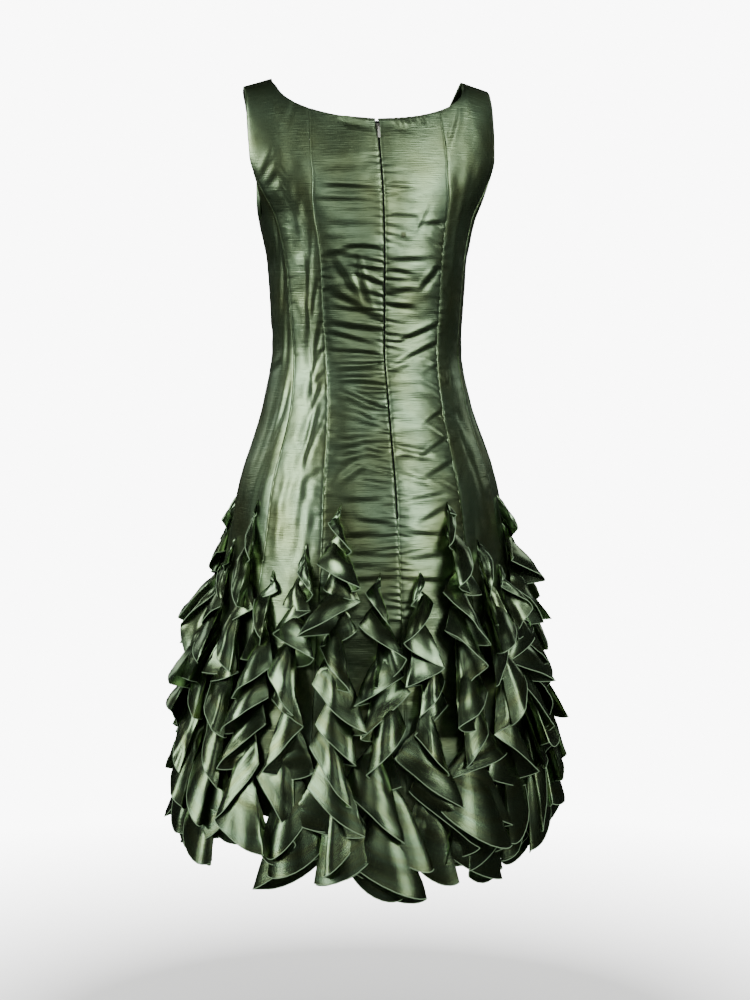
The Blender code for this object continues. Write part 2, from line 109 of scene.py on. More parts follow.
def satin(name, kind, stained=False):  # a Mix node's colours are sockets 6 and 7, and its output is 2
    look, cloth = satinLook, satinLook[kind]
    material, tree, shader = newMaterial(name)
    cut = addNode(tree, "ShaderNodeUVMap", {"uv_map": "cut"}).outputs["UV"]
    patches = addNode(tree, "ShaderNodeTexNoise", {"Scale": 1 / look["patchSize"], "Detail": look["patchDetail"]},
                      {"Vector": cut})
    lowest, highest = look["patchRange"]
    shade = addNode(tree, "ShaderNodeMapRange", {"From Min": lowest, "From Max": highest},
                    {"Value": patches.outputs["Fac"]})
    dyeAndShade = addNode(tree, "ShaderNodeMix", {"data_type": "RGBA"}, {"Factor": shade.outputs["Result"]})
    dyeAndShade.inputs[6].default_value, dyeAndShade.inputs[7].default_value = (linearColour(c) for c in cloth["dyeAndShade"])
    colour = dyeAndShade.outputs[2]
    if stained:  # a small brownish square mark beside the zip
        moved = addNode(tree, "ShaderNodeMapping", {"vector_type": "POINT"}, {"Vector": cut})
        moved.inputs["Location"].default_value = (-look["stainAt"][0], -look["stainAt"][1], 0)
        size = addNode(tree, "ShaderNodeVectorMath", {"operation": "ABSOLUTE"}, {0: moved.outputs["Vector"]})
        parts = addNode(tree, "ShaderNodeSeparateXYZ", {}, {0: size.outputs["Vector"]})
        reach = addNode(tree, "ShaderNodeMath", {"operation": "MAXIMUM"},
                        {0: parts.outputs["X"], 1: parts.outputs["Y"]})
        outer, inner = (look["stainSize"] * share for share in look["stainEdge"])
        inside = addNode(tree, "ShaderNodeMapRange",
                         {"From Min": outer, "From Max": inner, "To Max": look["stainDepth"]},
                         {"Value": reach.outputs["Value"]})
        spoiled = addNode(tree, "ShaderNodeMix", {"data_type": "RGBA"}, {"Factor": inside.outputs["Result"]})
        tree.links.new(colour, spoiled.inputs[6])
        spoiled.inputs[7].default_value = linearColour(look["stain"])
        colour = spoiled.outputs[2]
    # slubs are thicker weft threads, drawn a little coarser than real so that they show
    threads = addNode(tree, "ShaderNodeMapping", {}, {"Vector": cut})
    threads.inputs["Scale"].default_value = (1 / look["slubLength"], 1 / look["slubWidth"], 1)
    slubs = addNode(tree, "ShaderNodeTexNoise", {"Scale": 1, "Detail": look["slubDetail"]},
                    {"Vector": threads.outputs["Vector"]})
    bump = addNode(tree, "ShaderNodeBump", {"Strength": 1, "Distance": cloth["slubDepth"]},
                   {"Height": slubs.outputs["Fac"]})
    tree.links.new(colour, shader.inputs["Base Color"])
    tree.links.new(bump.outputs["Normal"], shader.inputs["Normal"])
    shader.inputs["Metallic"].default_value = look["metallic"]
    shader.inputs["Roughness"].default_value = cloth["roughness"]
    return material


def plainMaterial(name, colour, metallic, roughness):
    material, _, shader = newMaterial(name)
    shader.inputs["Base Color"].default_value = linearColour(colour)
    shader.inputs["Metallic"].default_value = metallic
    shader.inputs["Roughness"].default_value = roughness
    return material


panelSatin = satin("green_taffeta_satin", "panels")
stainedSatin = satin("green_taffeta_satin_marked", "panels", stained=True)
# the ruffles' satin is a darker copy of the panels' satin: painted shade
ruffleSatinPaintedShade = satin("green_taffeta_satin_ruffles", "ruffles")
# close zigzag stitches: matt, so a fine pale line
rolledHem = plainMaterial("polyester_hem_stitching", "#6F8767", 0, 0.5)
# woven tape: dull; its near-black colour is painted shade, so that the slot in front of it reads dark
zipTapePaintedShade = plainMaterial("polyester_tape_painted_shade", "#171C15", 0, 0.8)
# cast and plated: bright points on a tiny slider
zipMetal = plainMaterial("nickel_plated_zinc", "#C9C6BC", 1, 0.28)
print("materials made")

# The worn form, in metres and in degrees from the centre back. Its sections and seams are the CAD's
dressForm = {
    "strapInner": 0.141, "strapMiddle": 0.161, "shoulderSlope": 0.3, "slopeFadesAt": 0.12,
    "neckBack": 0.054, "neckFront": 0.088, "neckRoundness": 2.3,
    "armholeWidest": 0.09, "armholeBottom": 0.195, "armholeReach": 26, "sideSeamTop": 66,
    "hemFront": 0.97, "hemDip": 0.075, "hemDipSharpness": 1.5,
    # the zip's slot is twice slotHalf wide, and wider by twice slotWider at the slider
    "zipEnd": 0.616, "slotHalf": 0.0012, "slotWider": 0.0020, "sliderDrop": 0.064, "sliderReach": 0.010,
    "overlapBelowZip": 0.07,
    # drop, half width back and front, depth back and front, squareness
    "sections": (
        (0.000, 0.200, 0.200, 0.000, 0.000, 2.30), (0.008, 0.200, 0.199, 0.024, 0.020, 2.30),
        (0.030, 0.201, 0.193, 0.044, 0.038, 2.30), (0.060, 0.201, 0.184, 0.060, 0.056, 2.30),
        (0.105, 0.199, 0.174, 0.078, 0.078, 2.30), (0.150, 0.180, 0.165, 0.092, 0.094, 2.30),
        (0.195, 0.157, 0.157, 0.099, 0.108, 2.30), (0.260, 0.144, 0.144, 0.103, 0.124, 2.30),
        (0.320, 0.140, 0.140, 0.101, 0.112, 2.30), (0.375, 0.138, 0.138, 0.102, 0.096, 2.20),
        (0.460, 0.152, 0.152, 0.126, 0.104, 2.10), (0.580, 0.190, 0.190, 0.167, 0.130, 2.00),
        (0.640, 0.200, 0.200, 0.180, 0.142, 2.00), (0.820, 0.234, 0.234, 0.207, 0.172, 2.00),
        (0.950, 0.254, 0.254, 0.223, 0.194, 2.00), (1.120, 0.262, 0.262, 0.238, 0.212, 2.00)),
    # drop, then the angle of the back princess, side and front princess seams
    "seams": (
        (0.045, 25.5, 66.0, 152.0), (0.120, 27.5, 66.0, 152.0), (0.200, 35.0, 65.0, 150.0),
        (0.375, 34.3, 60.0, 147.0), (0.460, 32.2, 57.0, 148.0), (0.600, 31.0, 58.0, 149.7),
        (1.120, 30.0, 60.0, 150.0)),
}


def smoothTable(rows, step=0.0005):  # rows are joined by curves that never overshoot them
    rows = np.array(rows)
    at = np.arange(rows[0, 0], rows[-1, 0] + 1e-6, step)
    spans = np.diff(rows[:, 0])
    chords = np.diff(rows[:, 1:], axis=0) / spans[:, None]
    before, after = chords[:-1], chords[1:]
    same = before * after > 0  # elsewhere the curve turns back, and is level
    inner = np.where(same, 2 * before * after / np.where(same, before + after, 1), 0)
    slopes = np.concatenate([chords[:1], inner, chords[-1:]])
    cell = np.clip(np.searchsorted(rows[:, 0], at, "right") - 1, 0, len(spans) - 1)
    t, span = ((at - rows[cell, 0]) / spans[cell])[:, None], spans[cell][:, None]
    values = ((2 * t**3 - 3 * t**2 + 1) * rows[cell, 1:] + (t**3 - 2 * t**2 + t) * span * slopes[cell]
              + (3 * t**2 - 2 * t**3) * rows[cell + 1, 1:] + (t**3 - t**2) * span * slopes[cell + 1])
    return at, values.T


sectionDrops, sectionColumns = smoothTable(dressForm["sections"])
seamDrops, seamColumns = smoothTable(dressForm["seams"])


def seamAngle(seam, drop):  # seam is 0 back princess, 1 side, 2 front princess
    return np.interp(drop, seamDrops, seamColumns[seam])


def formPoint(angle, drop):
    form = [np.interp(drop, sectionDrops, column) for column in sectionColumns]
    widthBack, widthFront, depthBack, depthFront, square = form
    sine, cosine = np.sin(np.radians(angle)), np.cos(np.radians(angle))
    x = np.sign(sine) * np.where(cosine >= 0, widthBack, widthFront) * np.abs(sine) ** (2 / square)
    y = np.sign(cosine) * np.where(cosine >= 0, depthBack, depthFront) * np.abs(cosine) ** (2 / square)
    fade = np.maximum(0, 1 - drop / dressForm["slopeFadesAt"]) ** 2
    outside = np.maximum(np.abs(x), dressForm["strapInner"])
    z = dressForm["shoulderSlope"] * (dressForm["strapMiddle"] - outside) * fade - drop
    return np.stack([x, y, z], -1)


def unit(vectors):
    return vectors / np.maximum(np.linalg.norm(vectors, axis=-1, keepdims=True), 1e-12)


def formFrame(angle, drop):  # the point, and the directions round the body, down and out of it
    nearAngle, nearDrop = 0.2, 0.002
    side = unit(formPoint(angle + nearAngle, drop) - formPoint(angle - nearAngle, drop))
    down = unit(formPoint(angle, drop + nearDrop) - formPoint(angle, np.maximum(drop - nearDrop, 0)))
    return formPoint(angle, drop), side, down, unit(np.cross(side, down))


def angleAt(x, drop):  # the angle on the back where the form is x from the middle
    width, square = (np.interp(drop, sectionDrops, sectionColumns[k]) for k in (0, 4))
    return np.degrees(np.arcsin(np.minimum(1, x / width) ** (square / 2)))


def hemDrop(angle):
    towardsBack = (1 + np.cos(np.radians(angle))) / 2
    return dressForm["hemFront"] + dressForm["hemDip"] * towardsBack ** dressForm["hemDipSharpness"]


def neckDrop(angle, depth):
    drop = np.zeros_like(angle) + depth
    for _ in range(12):
        across = np.minimum(1, np.abs(formPoint(angle, drop)[..., 0]) / dressForm["strapInner"])
        drop = depth * np.maximum(0, 1 - across**2) ** (1 / dressForm["neckRoundness"])
    return drop


def princessTop(seam, depth):  # where the seam meets the neckline
    drop = depth
    for _ in range(40):
        drop = float(neckDrop(np.array([float(seamAngle(seam, drop))]), depth)[0])
    return drop


def armholePoint(swing):
    swing = np.radians(swing)
    return (90 + dressForm["armholeReach"] * np.sin(swing),
            dressForm["armholeWidest"] + (dressForm["armholeBottom"] - dressForm["armholeWidest"]) * np.cos(swing))


backTop, frontTop = princessTop(0, dressForm["neckBack"]), princessTop(2, dressForm["neckFront"])
strapInnerAngle = float(angleAt(dressForm["strapInner"], 0))
strapOuterAngle = 90 - dressForm["armholeReach"]
sideTopSwing = -math.degrees(math.asin((90 - dressForm["sideSeamTop"]) / dressForm["armholeReach"]))
sideTopDrop = float(armholePoint(sideTopSwing)[1])


def seamLine(seam, top):
    bottom = float(hemDrop(seamAngle(seam, dressForm["hemFront"])))

    def line(v):
        drop = top + (bottom - top) * v
        return seamAngle(seam, drop), drop
    return line


def zipLine(v):
    drop = dressForm["neckBack"] + (hemDrop(0) - dressForm["neckBack"]) * v
    # the slot opens a little round the slider, and below the zip it is a plain seam
    wider = np.exp(-(((drop - dressForm["sliderDrop"]) / dressForm["sliderReach"]) ** 2))
    half = dressForm["slotHalf"] + dressForm["slotWider"] * wider
    return np.where(drop > dressForm["zipEnd"], -dressForm["overlapBelowZip"], angleAt(half, drop)), drop


def backNeck(v):  # from the zip's slot to the princess seam
    slot = float(zipLine(0.0)[0])
    angle = slot + np.asarray(v) * (float(seamAngle(0, backTop)) - slot)
    return angle, neckDrop(angle, dressForm["neckBack"])


def backOuterEdge(v):  # armhole, then side seam
    drop = float(hemDrop(seamAngle(1, dressForm["hemFront"]))) * np.asarray(v)
    depth = dressForm["armholeBottom"] - dressForm["armholeWidest"]
    swing = np.arccos(np.clip((drop - dressForm["armholeWidest"]) / depth, 0, 1))
    armhole = 90 - dressForm["armholeReach"] * np.sin(swing)
    return np.where(drop < sideTopDrop, armhole, seamAngle(1, drop)), drop


def sideBackTop(u):  # neckline, then shoulder seam
    u = np.asarray(u)
    princess = float(seamAngle(0, backTop))
    neck = princess + (strapInnerAngle - princess) * np.minimum(1, u * 2)
    shoulder = strapInnerAngle + (strapOuterAngle - strapInnerAngle) * (u * 2 - 1)
    return np.where(u < 0.5, neck, shoulder), np.where(u < 0.5, neckDrop(neck, dressForm["neckBack"]), 0)


frontCorners = (0.375, 0.62, 0.72, 0.88)  # armhole bottom, armhole front, strap outer and inner corners


def sideFrontTop(u):
    u = np.asarray(u, float)
    bottom, front, outer, inner = frontCorners

    def share(first, last):
        return np.clip((u - first) / (last - first), 0, 1)

    swing = np.where(u < bottom, sideTopSwing * (1 - u / bottom), 90 * share(bottom, front))
    angle, drop = armholePoint(swing)
    drop = np.where(u > front, dressForm["armholeWidest"] * (1 - share(front, outer)), drop)
    strap = 180 - strapInnerAngle
    angle = np.where(u > outer, angle + (strap - angle) * share(outer, inner), angle)
    neck = strap + (float(seamAngle(2, frontTop)) - strap) * share(inner, 1)
    return np.where(u > inner, neck, angle), np.where(u > inner, neckDrop(neck, dressForm["neckFront"]), drop)


def frontNeck(u):
    first = float(seamAngle(2, frontTop))
    angle = first + (360 - 2 * first) * np.asarray(u)
    return angle, neckDrop(angle, dressForm["neckFront"])


def mirrored(line):
    def other(v):
        angle, drop = line(v)
        return 360 - angle, drop
    return other


def noiseSheet(across, drop, sizeAcross, sizeDown, seed):  # soft random hills of that size, between -1 and 1
    columns, rows = 128, 256
    lattice = np.random.RandomState(seed).uniform(-1, 1, (columns, rows))
    x, y = across / sizeAcross + 40, drop / sizeDown + 3  # moved over, so that both stay above 0
    i, j = np.floor(x).astype(int), np.floor(y).astype(int)
    fx, fy = x - i, y - j
    fx, fy = fx * fx * (3 - 2 * fx), fy * fy * (3 - 2 * fy)

    def at(a, b):
        return lattice[(i + a) % columns, (j + b) % rows]

    upper, lower = (at(0, b) * (1 - fx) + at(1, b) * fx for b in (0, 1))
    return upper * (1 - fy) + lower * fy


# Each trough has a ridge above it, of that share of its depth and that many half widths away
creaseShape = {"ridge": 0.8, "ridgeAt": 1.5, "endFade": 3}
puckerShape = {"ridge": 0.75, "ridgeAt": 1.6, "endFade": 1.6, "widens": 2.2,
               "halfWidth": (1.7, 3.0), "shallowest": 0.35, "deeper": 0.75}


def creaseHeight(across, drop, rows):
    look = creaseShape
    height = np.zeros_like(across)
    for at, down, length, tilt, halfWidth, depth in rows:
        c, s = math.cos(math.radians(tilt)), math.sin(math.radians(tilt))
        along = c * (across - at) + s * (drop - down)
        aside = (c * (drop - down) - s * (across - at)) / halfWidth
        fade = np.exp(-((np.abs(along) / (0.5 * length)) ** look["endFade"]))
        height += depth * fade * (look["ridge"] * np.exp(-((aside + look["ridgeAt"]) ** 2)) - np.exp(-(aside**2)))
    return height


def puckerRows(seed, first, last, spacing, reach, depth, lean):  # gathers that a seam makes, uneven in every way
    look = puckerShape
    rng = random.Random(seed)
    rows, drop = [], first
    while drop < last:
        strength = rng.random() ** 1.3
        length = reach[0] + (reach[1] - reach[0]) * strength * rng.uniform(0.6, 1)
        rows.append((drop, length, rng.uniform(*lean), rng.uniform(*look["halfWidth"]),
                     depth * (look["shallowest"] + look["deeper"] * strength)))
        drop += rng.uniform(*spacing)
    return rows


def puckerHeight(fromSeam, drop, rows):
    look = puckerShape
    height = np.zeros_like(fromSeam)
    for at, length, lean, halfWidth, depth in rows:
        wider = halfWidth * (1 + fromSeam / (look["widens"] * length))
        aside = (drop - at - math.tan(math.radians(lean)) * fromSeam) / wider
        fade = np.exp(-((fromSeam / length) ** look["endFade"]))
        height += depth * fade * (look["ridge"] * np.exp(-((aside + look["ridgeAt"]) ** 2)) - np.exp(-(aside**2)))
    return height


# In millimetres and degrees, for each panel: the puckers at its left and right edges (seed, first and last
# drop, spacing, reach, depth, lean), its own creases (across from its left edge, drop, length, tilt, half
# width, depth), and its ripples and its drape (height, size across, size down)
panelCreases = {
    "center_back_left": {
        "strength": 0.8,
        "puckers": ((11, 105, 900, (7, 12), (9, 46), 1.15, (-16, 8)),
                    (12, 250, 900, (8, 14), (6, 24), 0.7, (-14, 14))),
        "creases": (
            (30, 62, 46, -14, 5, 1.7), (44, 58, 22, -55, 3.5, 1.1), (56, 120, 60, 2, 9, 0.5),
            (40, 153, 72, -3, 4, 1.5), (48, 172, 84, -2, 5, 1.6), (30, 186, 60, 4, 6, 0.9),
            (46, 210, 66, 3, 7, 0.9), (30, 238, 62, -2, 4.5, 2.0), (56, 243, 52, 14, 5, 1.2),
            (38, 262, 34, -78, 4, 1.3), (58, 282, 56, -58, 6, 2.0), (34, 290, 60, -72, 5, 1.8),
            (22, 268, 44, -10, 4, 1.6), (20, 284, 46, -22, 4, 1.9), (46, 318, 66, -28, 6, 1.9),
            (30, 332, 70, -14, 5, 1.7), (34, 352, 84, -8, 5, 2.0), (48, 366, 60, -14, 4, 1.4),
            (40, 386, 80, -3, 4, 1.5), (42, 402, 84, 2, 4, 1.4), (40, 421, 84, 2, 5, 1.9),
            (30, 437, 64, -5, 4, 1.3), (32, 455, 66, -22, 5, 2.2), (50, 472, 60, -14, 7, 1.4),
            (22, 484, 44, -30, 5, 1.4), (48, 508, 66, 6, 7, 2.1), (54, 528, 54, 12, 6, 1.9),
            (26, 524, 44, -20, 5, 1.4), (60, 552, 50, 34, 6, 1.6), (30, 566, 60, -10, 5, 1.4),
            (44, 592, 70, 4, 6, 1.6), (28, 622, 60, -6, 5, 1.5), (50, 640, 60, 8, 6, 1.4),
            (40, 668, 80, -2, 5, 1.4), (40, 700, 80, 3, 5, 1.4)),
        "ripples": (0.8, 60, 12), "drape": (1.2, 55, 60)},
    "center_back_right": {
        "strength": 0.8,
        "puckers": ((21, 118, 900, (8, 14), (8, 34), 1.0, (-12, 14)),
                    (22, 215, 900, (8, 13), (7, 30), 0.85, (-34, 4))),
        "creases": (
            (22, 52, 22, 70, 2.6, 1.2), (31, 52, 20, 78, 2.4, 1.2), (40, 50, 26, 74, 2.8, 1.1),
            (52, 49, 18, 80, 2.6, 0.9), (64, 50, 24, 66, 3, 0.9), (26, 66, 40, 10, 6, 0.9),
            (24, 153, 44, 1, 3.6, 1.6), (40, 176, 40, 8, 6, 0.6), (26, 194, 48, 2, 4.5, 1.2),
            (74, 204, 44, -6, 5, 1.2), (58, 200, 46, -62, 4, 0.6), (22, 226, 34, 6, 4, 0.9),
            (34, 256, 70, -2, 5, 1.5), (20, 272, 36, 10, 4, 1.3), (70, 282, 44, -46, 5.5, 1.9),
            (24, 300, 44, -6, 5, 1.5), (22, 322, 40, 2, 5, 1.6), (52, 360, 78, -20, 5, 2.0),
            (50, 388, 84, -22, 5, 2.0), (20, 404, 36, -12, 4, 1.2), (74, 410, 34, -18, 4, 1.0),
            (30, 424, 50, -4, 5, 0.7), (58, 442, 46, 8, 6, 0.7), (74, 476, 46, -26, 4.5, 1.5),
            (30, 492, 54, 0, 6, 0.8), (66, 520, 60, -26, 5, 1.6), (30, 528, 60, 10, 4.5, 1.7),
            (72, 552, 60, -22, 6, 1.7), (30, 562, 54, 16, 5, 1.2), (40, 590, 70, -8, 5, 1.5),
            (60, 612, 60, -24, 6, 1.4), (36, 640, 70, 4, 5, 1.5), (46, 672, 76, -4, 6, 1.4),
            (40, 704, 76, 4, 5, 1.4)),
        "ripples": (0.55, 62, 13), "drape": (1.3, 60, 70)},
    "side_back_left": {
        "strength": 0.4,
        "puckers": ((31, 260, 760, (9, 16), (5, 20), 0.7, (-20, 20)),
                    (32, 150, 760, (12, 24), (5, 16), 0.5, (-20, 20))),
        "creases": (
            (28, 44, 62, 60, 4, 1.5), (50, 30, 40, 64, 8, 0.8), (64, 96, 44, 70, 6, 0.9),
            (76, 120, 46, 62, 5, 1.8), (68, 138, 44, 46, 5, 1.8), (54, 152, 30, 34, 4, 1.2),
            (36, 150, 160, 84, 13, 1.5), (20, 262, 90, 78, 4, 1.4), (30, 300, 110, 80, 6, 2.0),
            (14, 310, 60, 74, 4, 1.4), (36, 356, 110, 76, 8, 2.4), (14, 372, 70, 70, 5, 1.8),
            (22, 404, 50, 52, 5, 2.2), (12, 420, 34, 30, 4, 1.6), (10, 440, 34, 12, 4, 1.4),
            (22, 452, 60, 58, 5, 2.2), (40, 470, 110, 80, 8, 2.4), (26, 512, 90, 74, 5, 2.8),
            (16, 500, 50, 66, 4, 1.5), (44, 548, 90, 62, 7, 1.6), (20, 560, 50, 34, 6, 1.6),
            (60, 560, 90, 84, 7, 1.8), (34, 610, 110, 84, 8, 1.8), (64, 640, 110, 88, 8, 1.8),
            (20, 660, 90, 80, 7, 1.5)),
        "ripples": (0.75, 13, 20), "drape": (0.6, 34, 130)},
    "side_back_right": {
        "strength": 0.4,
        "puckers": ((41, 240, 760, (8, 14), (5, 22), 0.75, (-10, 30)),
                    (42, 160, 760, (12, 24), (5, 16), 0.5, (-20, 20))),
        "creases": (
            (18, 60, 66, 118, 5, 2.0), (44, 36, 46, 100, 7, 0.9), (60, 60, 60, 80, 9, 0.8),
            (54, 130, 50, 118, 6, 0.8), (18, 180, 150, 94, 10, 1.1), (20, 268, 40, 22, 5, 1.0),
            (26, 306, 44, 30, 5, 1.1), (40, 350, 90, 84, 9, 1.0), (16, 396, 44, 8, 4, 1.1),
            (26, 430, 56, -6, 5, 1.1), (20, 476, 60, -10, 6, 1.3), (18, 512, 66, -22, 5, 1.3),
            (40, 520, 80, 74, 6, 1.3), (20, 552, 50, -52, 5, 1.4), (54, 560, 90, 84, 7, 1.5),
            (30, 600, 110, 94, 8, 1.6), (60, 640, 110, 88, 8, 1.6), (20, 660, 90, 96, 7, 1.5)),
        "ripples": (0.6, 15, 20), "drape": (0.6, 40, 120)},
    "side_front_left": {
        "strength": 0.6,
        "puckers": ((51, 170, 760, (12, 24), (5, 16), 0.5, (-20, 20)),
                    (52, 200, 800, (9, 16), (6, 24), 0.7, (-20, 20))),
        "creases": (
            (24, 222, 60, 64, 6, 1.5), (46, 236, 60, 52, 6, 1.4), (80, 250, 60, 118, 6, 1.2),
            (30, 300, 90, 76, 7, 1.5), (90, 300, 80, 100, 9, 1.2), (150, 260, 70, 60, 9, 1.4),
            (170, 215, 70, 40, 8, 1.2), (24, 380, 80, 84, 7, 1.4), (120, 360, 90, 12, 8, 1.4),
            (140, 380, 90, -8, 7, 1.4), (60, 410, 70, 20, 7, 1.3), (20, 470, 90, 78, 6, 1.8),
            (44, 500, 110, 84, 8, 1.8), (90, 500, 120, 92, 10, 1.6), (140, 520, 120, 88, 10, 1.6),
            (190, 540, 110, 96, 10, 1.4), (30, 590, 110, 86, 8, 1.8), (80, 620, 120, 90, 9, 1.6),
            (130, 640, 110, 86, 9, 1.5), (180, 650, 110, 94, 9, 1.5)),
        "ripples": (0.5, 70, 26), "drape": (1.8, 60, 140)},
    "side_front_right": {
        "strength": 0.6,
        "puckers": ((61, 170, 760, (12, 24), (5, 16), 0.5, (-20, 20)),
                    (62, 200, 800, (9, 16), (6, 24), 0.7, (-20, 20))),
        "creases": (
            (20, 226, 56, 58, 6, 1.4), (50, 240, 64, 60, 6, 1.4), (76, 246, 56, 112, 6, 1.3),
            (34, 310, 90, 82, 7, 1.4), (96, 310, 76, 96, 9, 1.3), (156, 256, 74, 66, 9, 1.3),
            (168, 222, 66, 34, 8, 1.2), (28, 372, 80, 80, 7, 1.4), (116, 366, 96, 6, 8, 1.4),
            (146, 386, 84, -12, 7, 1.4), (66, 404, 74, 26, 7, 1.3), (24, 480, 96, 82, 6, 1.7),
            (50, 508, 110, 80, 8, 1.8), (96, 496, 116, 96, 10, 1.6), (136, 530, 124, 86, 10, 1.6),
            (186, 536, 110, 92, 10, 1.5), (34, 600, 110, 90, 8, 1.7), (84, 616, 120, 88, 9, 1.6),
            (126, 646, 110, 92, 9, 1.5), (176, 656, 110, 90, 9, 1.5)),
        "ripples": (0.5, 70, 26), "drape": (1.8, 60, 140)},
    "center_front": {
        "strength": 0.7,
        "puckers": ((71, 160, 850, (9, 16), (6, 26), 0.8, (-16, 16)),
                    (72, 160, 850, (9, 16), (6, 26), 0.8, (-16, 16))),
        "creases": (
            (60, 118, 60, 12, 7, 1.0), (100, 124, 60, -10, 7, 1.0), (70, 250, 90, 4, 9, 0.8),
            (60, 330, 90, 6, 7, 1.3), (90, 346, 90, -5, 7, 1.4), (56, 362, 80, 3, 6, 1.4),
            (92, 378, 80, -4, 6, 1.5), (60, 398, 90, 4, 7, 1.3), (84, 416, 80, -6, 6, 1.3),
            (50, 450, 70, 14, 7, 1.2), (100, 470, 70, -16, 7, 1.2), (70, 510, 90, 3, 8, 1.1),
            (50, 560, 70, 20, 7, 1.2), (104, 574, 70, -18, 7, 1.2), (74, 610, 90, 0, 8, 1.2),
            (70, 660, 90, 4, 8, 1.2)),
        "ripples": (0.7, 70, 15), "drape": (1.4, 60, 80)},
}
# In millimetres: how near a seam the ripples die, how calm the yoke is, the fine crinkle (height, size across,
# size down), the dip along a seam, and the strip beside it that stays flat
panelSurface = {
    "calmReach": 14, "calmAtRight": 0.8, "yokeEnds": 90, "yokeFade": 60, "yokeCalm": 0.25,
    "crinkle": (0.1, 9, 7), "seamDip": 0.4, "seamDipReach": 2.6, "flatReach": 1.2, "flatShare": 0.8,
}

clothSizes = {
    "wall": 0.0008, "ruffleWall": 0.0005, "tapeWall": 0.0005, "hemCord": 0.0007,
    "turnedIn": 0.005, "zipTurn": 0.0015, "seamInset": 0.0005, "sewnGap": 0.0007,
    "panelSharp": 50, "ruffleSharp": 48,  # edges that turn by more degrees than this stay sharp
}


def panelHeight(name, fromLeft, fromRight, drop):  # in metres; everything inside is in millimetres
    look, surface = panelCreases[name], panelSurface
    left, right, down = fromLeft * 1000, fromRight * 1000, drop * 1000
    atLeft, atRight = look["puckers"]
    seed = atLeft[0]

    def near(distance, reach):
        return np.exp(-((distance / reach) ** 2))

    height = puckerHeight(left, down, puckerRows(*atLeft)) + puckerHeight(right, down, puckerRows(*atRight))
    height += look["strength"] * creaseHeight(left, down, look["creases"])
    middle = 1 - near(left, surface["calmReach"]) - near(right, surface["calmReach"]) * surface["calmAtRight"]
    amount, across, tall = look["ripples"]
    calm = np.clip((down - surface["yokeEnds"]) / surface["yokeFade"], surface["yokeCalm"], 1)
    height += amount * calm * middle * noiseSheet(left, down, across, tall, seed)
    amount, across, tall = surface["crinkle"]
    height += amount * noiseSheet(left, down, across, tall, seed + 1)
    amount, across, tall = look["drape"]
    height += amount * middle * noiseSheet(left, down, across, tall, seed + 2)
    height -= surface["seamDip"] * (near(left, surface["seamDipReach"]) + near(right, surface["seamDipReach"]))
    edge = near(left, surface["flatReach"]) + near(right, surface["flatReach"])
    return height * (1 - surface["flatShare"] * np.clip(edge, 0, 1)) / 1000


# A grid laid on the points, with the cut as its UV map, and given a wall
def clothObject(name, points, cut, thickness, material, mirror, sharpAngle=None):
    across, along = points.shape[0] - 1, points.shape[1] - 1
    bm = bmesh.new()
    bmesh.ops.create_grid(bm, x_segments=across, y_segments=along, size=1)
    bm.verts.ensure_lookup_table()
    flat = np.array([v.co[:2] for v in bm.verts])
    i = np.rint((flat[:, 0] + 1) / 2 * across).astype(int)
    j = np.rint((flat[:, 1] + 1) / 2 * along).astype(int)
    place, onCloth = points[i, j], cut[i, j]
    if mirror:
        place = place * (-1, 1, 1)
    for vert, co in zip(bm.verts, place):
        vert.co = co
    layer = bm.loops.layers.uv.new("cut")
    for face in bm.faces:
        for loop in face.loops:
            loop[layer].uv = onCloth[loop.vert.index]
    if mirror:
        bmesh.ops.reverse_faces(bm, faces=bm.faces[:])
    mesh = bpy.data.meshes.new(name)
    bm.to_mesh(mesh)
    bm.free()
    mesh.materials.append(material)
    mesh.shade_smooth()
    obj = bpy.data.objects.new(name, mesh)
    bpy.context.collection.objects.link(obj)
    wall = obj.modifiers.new("wall", "SOLIDIFY")
    wall.thickness, wall.offset = thickness, 0
    solid = bpy.data.meshes.new_from_object(obj.evaluated_get(bpy.context.evaluated_depsgraph_get()))
    obj.modifiers.clear()
    obj.data = solid
    solid.name = name
    if sharpAngle:
        solid.set_sharp_from_angle(angle=math.radians(sharpAngle))
    return obj


def meshArea(points):
    a, b = points[1:, 1:] - points[:-1, :-1], points[1:, :-1] - points[:-1, 1:]
    return float(np.linalg.norm(np.cross(a, b), axis=-1).sum() / 2)


def lengthAlong(line):
    return np.concatenate([[0], np.cumsum(np.linalg.norm(np.diff(line, axis=0), axis=-1))])


def crowdEnds(x, amount):  # moves each share nearer to the whole number that is next to it
    return x - amount * np.sin(2 * math.pi * x) / (2 * math.pi)


# For each panel: columns, rows, how many of the rows are dense, and the share of its length that those cover
panelGrid = {
    "center_back": (64, 390, 340, 0.71), "side_back": (40, 320, 270, 0.76),
    "side_front": (52, 230, 190, 0.76), "center_front": (50, 220, 185, 0.76), "columnCrowding": 0.75,
}


def panelShares(name, corners):  # shares across, with the corners among them, and shares down
    columns, rows, dense, denseUntil = panelGrid[name.removesuffix("_left").removesuffix("_right")]
    u = crowdEnds(np.linspace(0, 1, columns), panelGrid["columnCrowding"])
    for corner in corners:
        u[np.argmin(np.abs(u - corner))] = corner
    return u, np.interp(np.arange(rows), (0, dense, rows - 1), (0, denseUntil, 1))


